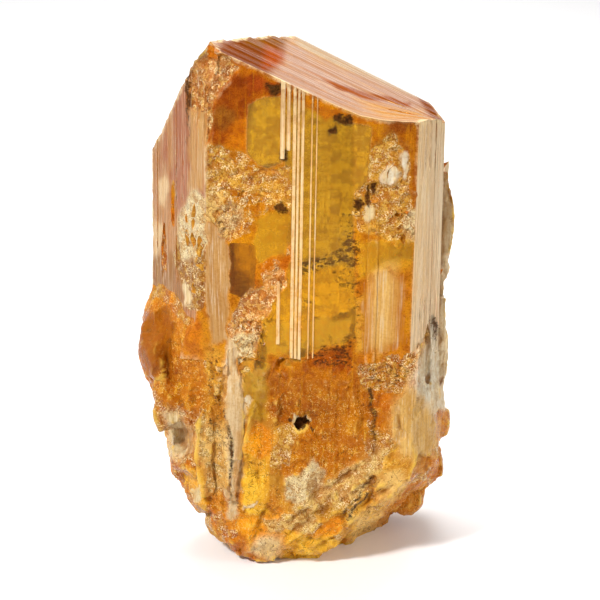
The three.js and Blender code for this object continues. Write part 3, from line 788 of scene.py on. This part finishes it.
# Where the surface itself is broken away: how deep, in mm, how soft, and the outline.
HOLLOWS = table("""
0.24 3 186,76 193,60 208,52 228,57 238,68 232,78 222,86 216,95 212,112 212,126 209,141 204,146 200,126
  190,106
0.12 3 208,150 220,147 231,160 235,178 230,198 218,204 209,190
0.12 3 251,180 261,168 277,165 289,170 289,204 280,211 266,205 254,195
0.12 3 215,209 228,202 240,208 244,221 236,236 226,240 218,228
0.14 4 374,146 392,136 412,150 412,236 404,246 380,240 366,226 360,206 366,182
-0.22 3 383,171 388,165 395,164 399,170 398,180 391,187 384,185 381,178
0.6 1.2 295,419 299,415 305,417 309,422 304,428 298,429 295,424
0.14 3 256,288 268,276 280,268 284,280 276,302 266,322 260,338 257,356 250,374 245,385 238,374 232,346
  234,320 238,308 246,298
""")

# Where the break is fluted at a slant.
SLANT = outline("262,530 284,508 330,482 368,448 400,438 420,450 400,496 352,540 300,552".split())

# How ragged the rims of patches are, by look, where it isn't 1, and of all looks on the end face.
RAGGED = {"window": 0.3, "hole": 0.0}
END_RAGGED = 0.2
RIB = 0.1  # how far the raised growth lines stand out, in mm


def polygon_field(px, py, shape, soft):
    """1 inside an outline, 0 outside, with a soft rim."""
    out = np.zeros(len(px))
    low, high = shape.min(0) - 2 * soft, shape.max(0) + 2 * soft
    near = (px > low[0]) & (px < high[0]) & (py > low[1]) & (py < high[1])
    x, y = px[near], py[near]
    gap = np.full(len(x), 1e9)
    within = np.zeros(len(x), dtype=bool)
    for a, b in zip(shape, np.roll(shape, -1, axis=0)):
        way = b - a
        t = np.clip(((x - a[0]) * way[0] + (y - a[1]) * way[1]) / (way @ way), 0, 1)
        gap = np.minimum(gap, np.hypot(x - a[0] - t * way[0], y - a[1] - t * way[1]))
        straddle = (a[1] > y) != (b[1] > y)
        within ^= straddle & (x < a[0] + (y - a[1]) * way[0] / (way[1] if way[1] else 1))
    out[near] = smooth(-soft, soft, np.where(within, gap, -gap))
    return out


def face_letters(points, tris, kind):
    """The letter of the face that each triangle is on."""
    n, _ = tri_normals(points, tris)
    mid = points[tris].mean(1)
    flat, broken = kind == FLAT, kind == ROUGH
    letter = np.full(len(tris), "B")
    letter[flat & (n[:, 1] < -0.9)] = "F"
    letter[flat & (n[:, 1] > 0.3)] = "K"
    letter[flat & (n[:, 0] < -0.5) & (n[:, 1] < 0.3)] = "L"
    letter[flat & (n[:, 0] > 0.5) & (n[:, 1] < 0.3)] = "R"
    letter[broken & (mid[:, 2] > 33) & (mid[:, 0] < 0)] = "C"
    in_front = (n[:, 1] < -0.3) & (mid[:, 1] < FRONT_Y + 2.0) & (np.abs(mid[:, 0] - 1) < 7.4)
    letter[broken & (mid[:, 2] > 17.5) & in_front] = "F"
    letter[kind == END] = "E"
    return letter


def fields(points, tris, kind):
    """Values at the corners of each triangle: look, colour, kind of face, and how hollow it is."""
    corner = tris.reshape(-1)
    where = np.repeat(face_letters(points, tris, kind), 3)
    flat = np.repeat(kind == FLAT, 3)
    p = points[corner]
    # How much each corner is turned to the camera; patches fade out where it is turned away.
    face_normal, point_normal = tri_normals(points, tris)[0], vertex_normals(points, tris)
    normal = np.where(flat[:, None], np.repeat(face_normal, 3, axis=0), point_normal[corner])
    facing = ((EYE - p) * normal).sum(1) / np.linalg.norm(EYE - p, axis=1)
    seen = smooth(-0.02, 0.14, facing)
    px, py = frame_xy(points)
    bend = np.stack([px, py, np.zeros(len(px))], 1)
    shift = np.stack([2.6 * fbm(bend / 11, 61, 4), 4.0 * fbm(bend / 13, 71, 4)])[:, corner]
    px, py = px[corner], py[corner]
    first_noise = (0.5 + 0.5 * fbm(points * np.array([0.5, 0.5, 0.2]), 81, 3))[corner]
    other_noise = (0.5 + 0.5 * fbm(points * np.array([0.45, 0.45, 0.3]), 91, 3))[corner]

    look, colour = np.zeros((len(corner), 4)), np.zeros((len(corner), 3))
    for name, (start, first, second) in GROUND.items():
        mine = where == name
        look[mine] = start
        t = smooth(0.3, 0.7, first_noise[mine])[:, None]
        colour[mine] = COLOUR[first] * (1 - t) + COLOUR[second] * t
    # The back: a half clear pane in the middle, stained and crackled round it.
    back, broken = where == "K", where == "B"
    rear = back | (broken & (p[:, 1] > 1.5))
    pane = 1 - smooth(4.6, 6.2, np.abs(p[:, 0] - 1.0) + 2.4 * (other_noise - 0.5))
    pane = pane * smooth(8.0, 10.5, p[:, 2] + 3 * (other_noise - 0.5)) * rear
    look[back, 1] = smooth(0.44, 0.38, other_noise[back])
    look[back, 2] = 0.8 * smooth(0.56, 0.62, first_noise[back])
    # Broken parts: lumps of clear orange, patches of crackle, dirt in between.
    look[broken, 0] = 0.4 * smooth(0.5, 0.68, other_noise[broken])
    look[broken, 1] = 0.85 * smooth(0.5, 0.34, other_noise[broken])
    look += (np.array([0.45, 0, 0, 0]) - look) * pane[:, None]
    colour += (COLOUR["rear"] - colour) * pane[:, None]

    for faces, name, paint, soft, *rim in PATCHES:
        on_faces = np.isin(where, list(faces))
        if "B" in faces:
            on_faces |= (p[:, 2] < 18.5) & (where != "E")
        index = np.nonzero(on_faces)[0]
        warp = END_RAGGED if faces == "E" else RAGGED.get(name, 1.0)
        at = np.stack([px[index], py[index]]) + warp * shift[:, index]
        share = polygon_field(*at, outline(rim), float(soft))
        if name not in MIRRORED or "B" not in faces:
            share = share * seen[index]
        hit = share > 0
        index, share = index[hit], share[hit]
        for k, target in enumerate(LOOK[name]):
            if target is not None:
                look[index, k] += (target - look[index, k]) * share
        if paint != "-":
            colour[index] += (COLOUR[paint] - colour[index]) * share[:, None]

    # The raised growth lines on the front are cream, deeper low down and fawn at the top; the cream is
    # partly their own pale colour and partly painted reflection.
    on_rib = np.abs(points[tris][:, :, 1] - FRONT_Y + RIB).max(1) < 0.012
    rib = np.repeat((kind == FLAT) & on_rib, 3) & (p[:, 0] < 4)
    look[rib] = (0, 0, 0.8, 0)
    low = smooth(26.0, 17.0, p[rib, 2])[:, None]
    colour[rib] = COLOUR["ivory"] * (1 - low) + COLOUR["straw"] * low
    high = 0.9 * smooth(33.5, 36.5, p[rib, 2])[:, None]
    colour[rib] += (COLOUR["fawn"] - colour[rib]) * high

    depth = np.zeros(len(corner))
    hollow = np.isin(where, ["F", "C", "L", "B"])
    for deep, soft, *rim in HOLLOWS:
        share = polygon_field(px[hollow], py[hollow], outline(rim), float(soft))
        depth[hollow] += float(deep) * share * seen[hollow]

    upright, side = np.isin(where, ["F", "K"]), np.isin(where, ["L", "R"])
    face = np.stack([upright, side, where == "E", rib], 1).astype(float)
    # Where a flat face runs out into the break, its marks fade out.
    count = np.bincount(corner, minlength=len(points))
    for k in range(2):
        soft_face = (np.bincount(corner, face[:, k], len(points)) / count)[corner]
        face[:, k] = np.where(flat, face[:, k], soft_face)
    below = ~flat & np.isin(where, ["B", "F"]) & by_front(p)
    whole = smooth(13.0, 17.0, p[below, 2] + 1.5 * (first_noise[below] - 0.5))
    face[below, 0] = np.maximum(face[below, 0], whole)
    return look, colour, face, depth


# ---------------------------------------------------------------------------
# The crystal
# ---------------------------------------------------------------------------
def store(mesh, name, values):
    layer = mesh.color_attributes.new(name, "FLOAT_COLOR", "CORNER")
    layer.data.foreach_set("color", np.ascontiguousarray(values, dtype=np.float32).reshape(-1))


def build_crystal():
    points, tris = source_mesh()
    kind = classify(points, tris)
    points, tris, kind = split_long(points, tris, kind)
    points, tris, kind = remesh_flats(points, tris, kind)
    look, colour, face, depth = fields(points, tris, kind)
    corner = tris.reshape(-1)
    count = np.bincount(corner, minlength=len(points))
    crackle, depth = (np.bincount(corner, part, len(points)) / count for part in (look[:, 1], depth))
    slant = polygon_field(*frame_xy(points), SLANT, 12)
    points, push = relief(points, tris, kind, crackle, depth, slant)
    mesh = bpy.data.meshes.new("crystal")
    mesh.vertices.add(len(points))
    mesh.vertices.foreach_set("co", (points * MM).reshape(-1))
    mesh.loops.add(tris.size)
    mesh.loops.foreach_set("vertex_index", corner.astype(np.int32))
    mesh.polygons.add(len(tris))
    mesh.polygons.foreach_set("loop_start", np.arange(0, tris.size, 3, dtype=np.int32))
    mesh.polygons.foreach_set("use_smooth", np.ones(len(tris), dtype=bool))
    mesh.update()
    mesh.validate()
    mesh.set_sharp_from_angle(angle=SHARP)
    store(mesh, "look", look)
    store(mesh, "tone", np.concatenate([colour, np.ones((len(corner), 1))], 1))
    form = np.stack([0.5 + push, 0.5 + convexity(points, tris), slant, np.ones(len(points))], 1)
    store(mesh, "form", form[corner])
    store(mesh, "face", face)
    return link_new("crystal", mesh)


# ---------------------------------------------------------------------------
# Material
# ---------------------------------------------------------------------------
class Out:
    """What a shader node gives, with short ways to go on from it. Colours given as numbers are sRGB."""

    def __init__(self, socket):
        self.socket = socket

    def __add__(self, other):
        return math_node("ADD", self, other)

    def __sub__(self, other):
        return math_node("SUBTRACT", self, other)

    def __mul__(self, other):
        return math_node("MULTIPLY", self, other)

    def __or__(self, other):
        return math_node("MAXIMUM", self, other)

    def flip(self):
        return math_node("SUBTRACT", 1.0, self)

    def band(self, low, high, out_low=0.0, out_high=1.0):
        """A smooth step from low to high."""
        values = (self, low, high, out_low, out_high)
        return shader("MapRange", {"interpolation_type": "SMOOTHSTEP"}, values)

    def dim(self, *rgb):
        return mix(1.0, self, rgb, "MULTIPLY")

    def toward(self, share, *rgb):
        return mix(share, self, rgb)


def shader(kind, settings=None, values=(), output=0, **named):
    """Adds a node. Its inputs are given in order or by name; None leaves one as it is."""
    node = TREE.nodes.new("ShaderNode" + kind)
    for name, value in (settings or {}).items():
        setattr(node, name, value)
    for name, value in [*enumerate(values), *named.items()]:
        if isinstance(value, Out):
            TREE.links.new(value.socket, node.inputs[name])
        elif value is not None:
            node.inputs[name].default_value = value
    return Out(node.outputs[output])


def math_node(operation, *values):
    return shader("Math", {"operation": operation}, values)


def vector_math(operation, *values, output=0, **named):
    return shader("VectorMath", {"operation": operation}, values, output, **named)


def mix(share, a, b, mode="MIX"):
    """Mixes two colours."""
    a, b = ((*shade(*c), 1) if isinstance(c, tuple) else c for c in (a, b))
    return shader("Mix", {"data_type": "RGBA", "blend_type": mode}, (share, *[None] * 5, a, b), 2)


def lerp(share, a, b):
    """Mixes two numbers."""
    return shader("Mix", None, (share, None, a, b))


def layers(colour, *coats):
    for share, coat in coats:
        colour = mix(share, colour, coat)
    return colour


def lerps(value, *changes):
    for share, target in changes:
        value = lerp(share, value, target)
    return value


def cloud(place, scale, detail, rough=0.55, distortion=0.0, output=0):
    return shader("TexNoise", None, (), output, Vector=place, Scale=scale, Detail=detail,
                  Roughness=rough, Distortion=distortion)


def streaks(place, scales, detail, rough=0.55):
    """Noise drawn out along the axes with small scales."""
    return cloud(vector_math("MULTIPLY", place, scales), 1.0, detail, rough)


def vein(place, scale, width, detail):
    """Thin wandering lines."""
    return math_node("ABSOLUTE", cloud(place, scale, detail, 0.6, 0.6) - 0.5).band(width, width * 0.3)


def attribute(name):
    """The three parts of a colour attribute, its fourth, and its colour."""
    node = TREE.nodes.new("ShaderNodeAttribute")
    node.attribute_name = name
    parts = TREE.nodes.new("ShaderNodeSeparateColor")
    TREE.links.new(node.outputs["Color"], parts.inputs[0])
    return [Out(socket) for socket in (*parts.outputs, node.outputs["Alpha"], node.outputs["Color"])]


def flakes(place, scale):
    """Cells that tilt each their own way: the height in them, a random number for each, and the rims."""
    centre = shader("TexVoronoi", None, (), "Position", Vector=place, Scale=scale)
    tint = Out(centre.socket.node.outputs["Color"])
    ends = [vector_math("SCALE", at, Scale=scale) for at in (place, centre)]
    lean = vector_math("SUBTRACT", tint, (0.5, 0.5, 0.5))
    height = vector_math("DOT_PRODUCT", vector_math("SUBTRACT", *ends), lean, output=1)
    rim = shader("TexVoronoi", {"feature": "DISTANCE_TO_EDGE"}, (), "Distance", Vector=place, Scale=scale)
    return height, shader("SeparateColor", None, (tint,)), rim


TOPAZ = bpy.data.materials.new("topaz")
TOPAZ.use_nodes = True
TREE = TOPAZ.node_tree


def paint_topaz():
    place = vector_math("SCALE", shader("TexCoord", output=3), Scale=1 / MM)
    clear0, crackle0, pale0, dark0, _ = attribute("look")
    front, side, end, rib, _ = attribute("face")
    push, swell, slant, *_ = attribute("form")
    push, swell = push - 0.5, swell - 0.5
    tone = attribute("tone")[-1]
    on_plain = (side | end).flip()
    broken = on_plain - front

    broad = cloud(place, 0.35, 3.0, 0.5)
    middle = cloud(place, 1.6, 5.0, 0.62)
    fine = cloud(place, 5.0, 5.0, 0.7)
    grit = cloud(place, 8.0, 3.0, 0.7)
    grain = cloud(place, 10.0, 2.0, 0.8)
    ragged = (fine - 0.5) * 0.2 + (middle - 0.5) * 0.8
    # Streaks up the crystal, across it where it is fluted, and along the end face.
    streak = streaks(place, (4.2, 4.2, 0.16), 4.0, 0.65)
    thin_streak = streaks(place, (11.0, 11.0, 0.3), 2.0, 0.6)
    turned = shader("VectorRotate", {"rotation_type": "Y_AXIS"}, Vector=place, Angle=0.7)
    flutes = streaks(turned, (0.8, 4.6, 4.6), 5.0, 0.7)
    splinter = lerp(slant, streaks(place, (5.0, 5.0, 1.0), 5.0, 0.7), flutes)
    end_streak = streaks(place, (0.14, 5.0, 0.14), 4.0, 0.7)
    end_line = streaks(place, (0.05, 9.0, 0.05), 1.0, 0.5)
    spots = streaks(place, (2.8, 2.8, 5.0), 6.0, 0.8)

    clear, part_clear = ((clear0 + ragged * 0.5).band(*ends) for ends in ((0.42, 0.58), (0.15, 0.55)))
    unclear = clear.flip()
    crackle = (crackle0 + ((middle - 0.5) * 1.2 + (fine - 0.5) * 0.25)).band(0.4, 0.56)
    pale = (pale0 + (ragged + (streak - 0.5)) * 0.55).band(0.3, 0.62)
    dark = (dark0 + (spots - 0.5) * 4.5).band(0.54, 0.66) * dark0.band(0.02, 0.25)

    # Crackle: small flakes, some bright, some amber, with a grain of painted glints.
    warp = vector_math("SCALE", cloud(place, 1.4, 3.0, 0.5, output=1), Scale=1.2)
    flake_place = vector_math("ADD", place, warp)
    big_tilt, big_random, big_rim = flakes(flake_place, 1.3)
    small_tilt, small_random, small_rim = flakes(flake_place, 3.6)
    flake = big_random * 0.45 + small_random * 0.55
    rim = big_rim.band(0.07, 0.015) * middle.band(0.42, 0.58)
    lace = vein(place, 2.4, 0.02, 3.0) * grit.band(0.46, 0.58)
    lace = lace | small_rim.band(0.09, 0.02) * fine.band(0.54, 0.64, 0.0, 0.7)
    # A grain of tiny cream-white specks: painted glints.
    painted_glints = grain.band(0.52, 0.6) * middle.band(0.46, 0.58, 0.12, 1.0)
    crackled = layers(
        tone.dim(222, 190, 150),
        (flake.band(0.3, 0.62), tone),
        (small_random.band(0.68, 0.86, 0.0, 0.5), tone.toward(0.6, 255, 208, 96)),
        (grit.band(0.45, 0.34, 0.0, 0.6), (142, 78, 10)),
        (lace * 0.4, tone.toward(0.75, 255, 228, 150)),
        (rim * 0.3, (255, 230, 160)),
        (painted_glints * 0.85, (255, 236, 184)),
        (grain.band(0.43, 0.36, 0.0, 0.8), (124, 64, 6)))

    # Stained ground: smoky amber; where it is broken, with strokes and painted shade in the grooves between
    # them, a grain of painted glints and thin cracks.
    smoky = layers(
        tone.dim(212, 184, 160),
        (middle.band(0.34, 0.62), tone),
        (streak.band(0.54, 0.68, 0.0, 0.3), (244, 168, 30)),
        (grit.band(0.68, 0.74, 0.0, 0.5), (252, 200, 80)))
    honey = layers(
        tone.dim(234, 214, 190),
        (broad.band(0.42, 0.6), tone),
        (middle.band(0.5, 0.36, 0.0, 0.6), tone.dim(216, 186, 150)),
        (middle.band(0.54, 0.68, 0.0, 0.6), tone.toward(0.5, 255, 200, 60)),
        (splinter.band(0.54, 0.7, 0.0, lerp(slant, 0.5, 0.8)), (252, 196, 60)),
        # Painted shade in the grooves between the strokes, where the same noise sinks the bump.
        (splinter.band(0.45, 0.34, 0.0, 0.55), tone.dim(186, 146, 100)),
        (fine.band(0.57, 0.65) * big_random.band(0.35, 0.6, 0.0, 0.55), (255, 222, 120)),
        # A grain of tiny cream specks: painted glints.
        (grain.band(0.55, 0.63) * middle.band(0.44, 0.6, 0.1, 0.65), (255, 224, 136)),
        (grain.band(0.42, 0.35, 0.0, 0.5), tone.dim(196, 150, 100)),
        (vein(place, 0.9, 0.012, 4.0) * 0.7, (96, 48, 8)))

    # Side faces: fine upright stripes of pink, cream and orange. The end face has lines along it.
    stripes = layers(
        tone.dim(242, 226, 206),
        (streak.band(0.38, 0.66), tone),
        (thin_streak.band(0.5, 0.74, 0.0, 0.6), (248, 224, 190)),
        (streaks(place, (3.0, 3.0, 0.25), 4.0).band(0.56, 0.7, 0.0, 0.28), (214, 132, 66)),
        (splinter.band(0.6, 0.76, 0.0, 0.35), (250, 232, 204)))
    lines = layers(
        tone.dim(234, 212, 196),
        (end_streak.band(0.4, 0.64), tone),
        (end_line.band(0.61, 0.68, 0.0, 0.6), (168, 88, 44)),
        # The pale streaks along the end face are partly its striations and partly painted sheen.
        (end_streak.band(0.58, 0.74, 0.0, 0.4), tone.toward(0.5, 252, 236, 218)))
    matt = layers(
        tone.dim(220, 196, 156),
        ((streak + fine * 0.5).band(0.55, 0.95), tone),
        (thin_streak.band(0.5, 0.72, 0.0, 0.5), (250, 238, 208)),
        (grit.band(0.42, 0.3, 0.0, 0.5), (160, 100, 40)))
    bands = mix(streak.band(0.35, 0.65), tone.dim(240, 230, 214), tone)
    bands = layers(
        bands,
        (middle.band(0.58, 0.4, 0.0, 0.6), bands.dim(222, 204, 180)),
        (streaks(place, (2.2, 2.2, 7.0), 4.0, 0.7).band(0.66, 0.72, 0.0, 0.6), (110, 60, 14)))

    # Painted highlight along the convex edges of the flat faces.
    painted_edge_highlight = swell.band(0.008, 0.03) * (broken.flip() * middle.band(0.4, 0.55, 0.1, 0.6))
    colour = layers(
        mix(broken, smoky, honey),
        (side, stripes),
        (end, lines),
        (pale * on_plain, matt),
        (part_clear, bands),
        (crackle, crackled),
        # Painted shade darkens the hollows and creases, and painted highlights brighten the crests.
        (push.band(-0.06, -0.4) * (broken * 0.4), (190, 100, 8)),
        (swell.band(-0.006, -0.03) * (broken * 0.6), (150, 82, 6)),
        (swell.band(0.01, 0.04) * (broken * 0.7), (255, 208, 84)),
        (painted_edge_highlight, (255, 228, 176)),
        (dark * 0.92, mix(fine.band(0.4, 0.6), (46, 24, 8), (96, 54, 18))))
    # How much light goes through.
    through = lerps(
        lerp(part_clear, lerp(broken, 0.25, 0.2), lerp(broken, 0.74, 0.4)),
        (clear, 0.94), (pale, 0.3), (side * unclear, 0.3), (end * unclear, 0.15),
        (crackle, lerp(painted_glints, 0.35, 0.1)), (rib, 0.15), (dark, 0.05))
    roughness = lerps(
        lerp(part_clear, lerp(broken, fine.band(0.35, 0.65, 0.18, 0.42), 0.1), lerp(broken, 0.14, 0.06)),
        (clear, middle.band(0.3, 0.8, 0.02, 0.07)), (pale, 0.42), (side, streak.band(0.3, 0.7, 0.18, 0.36)),
        (end, end_streak.band(0.3, 0.7, 0.16, 0.34)), (crackle, 0.16), (dark, 0.5))
    # A glossier skin on everything but the clear panes.
    coat = unclear * (fine.band(0.56, 0.66, 0.01, 0.6) + crackle * 0.1)
    # Bump, in mm: grain, flakes and stripes.
    height = (fine - 0.5) * lerp(clear, lerp(broken, 0.02, 0.05), 0.002)
    height += (crackle | broken * 0.25) * (big_tilt * 0.14 + small_tilt * 0.07)
    height += side * (streak * 0.018 + thin_streak * 0.01)
    height += end * (end_streak * 0.03 + end_line * 0.014)
    height += broken * (splinter * 0.09)
    height += front * lerp(clear, 0.012, 0.004) * thin_streak
    bump = shader("Bump", Strength=1.0, Distance=MM, Height=height)

    surface = TREE.nodes["Principled BSDF"].inputs
    for name, out in {"Base Color": colour, "Transmission Weight": through, "Roughness": roughness,
                      "Normal": bump, "Coat Weight": coat, "Coat Normal": bump}.items():
        TREE.links.new(out.socket, surface[name])
    for name, value in {"IOR": 1.62, "Specular IOR Level": 0.05, "Specular Tint": (1.0, 0.8, 0.42, 1),
                        "Coat Roughness": 0.06}.items():
        surface[name].default_value = value
    inner = shader("VolumeAbsorption", Color=(0.96, 0.92, 0.25, 1), Density=800.0)
    TREE.links.new(inner.socket, TREE.nodes["Material Output"].inputs["Volume"])


# ---------------------------------------------------------------------------
# Studio
# ---------------------------------------------------------------------------
def area(name, place, aim, size, power, spread=180.0):
    data = bpy.data.lights.new(name, "AREA")
    data.shape = "RECTANGLE"
    data.size, data.size_y = size
    data.energy = power
    data.spread = math.radians(spread)
    lamp = link_new(name, data)
    lamp.location = place
    lamp.rotation_euler = (Vector(aim) - Vector(place)).to_track_quat("-Z", "Y").to_euler()


def studio():
    size = 1.5
    mesh = bpy.data.meshes.new("floor")
    corners = [(-size, -size, 0), (size, -size, 0), (size, size, 0), (-size, size, 0)]
    mesh.from_pydata(corners, [], [(0, 1, 2, 3)])
    floor = link_new("floor", mesh)
    mat = bpy.data.materials.new("floor")
    mat.use_nodes = True
    paint = mat.node_tree.nodes["Principled BSDF"].inputs
    paint["Base Color"].default_value = (0.93, 0.92, 0.92, 1)
    paint["Roughness"].default_value = 0.6
    mesh.materials.append(mat)
    world = bpy.data.worlds.new("studio")
    bpy.context.scene.world = world
    world.use_nodes = True
    sky = world.node_tree.nodes["Background"].inputs
    sky["Color"].default_value = (1, 1, 1, 1)
    sky["Strength"].default_value = 0.45
    area("top", (-0.01, 0.07, 0.18), (-0.01, 0.0701, 0), (0.12, 0.12), 0.1, 80)
    area("key", (-0.12, -0.14, 0.2), (0, 0, 0.015), (0.034, 0.024), 0.0105, 20)
    area("right", (0.16, -0.06, 0.1), (0, 0, 0.02), (0.06, 0.06), 0.004, 24)
    area("back", (0.09, 0.28, 0.10), (0, 0, 0.03), (0.2, 0.12), 0.08)


crystal = build_crystal()
paint_topaz()
crystal.data.materials.append(TOPAZ)
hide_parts(NODE)
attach(crystal, "root")
make_camera()
studio()
bpy.context.scene.view_settings.view_transform = "Standard"
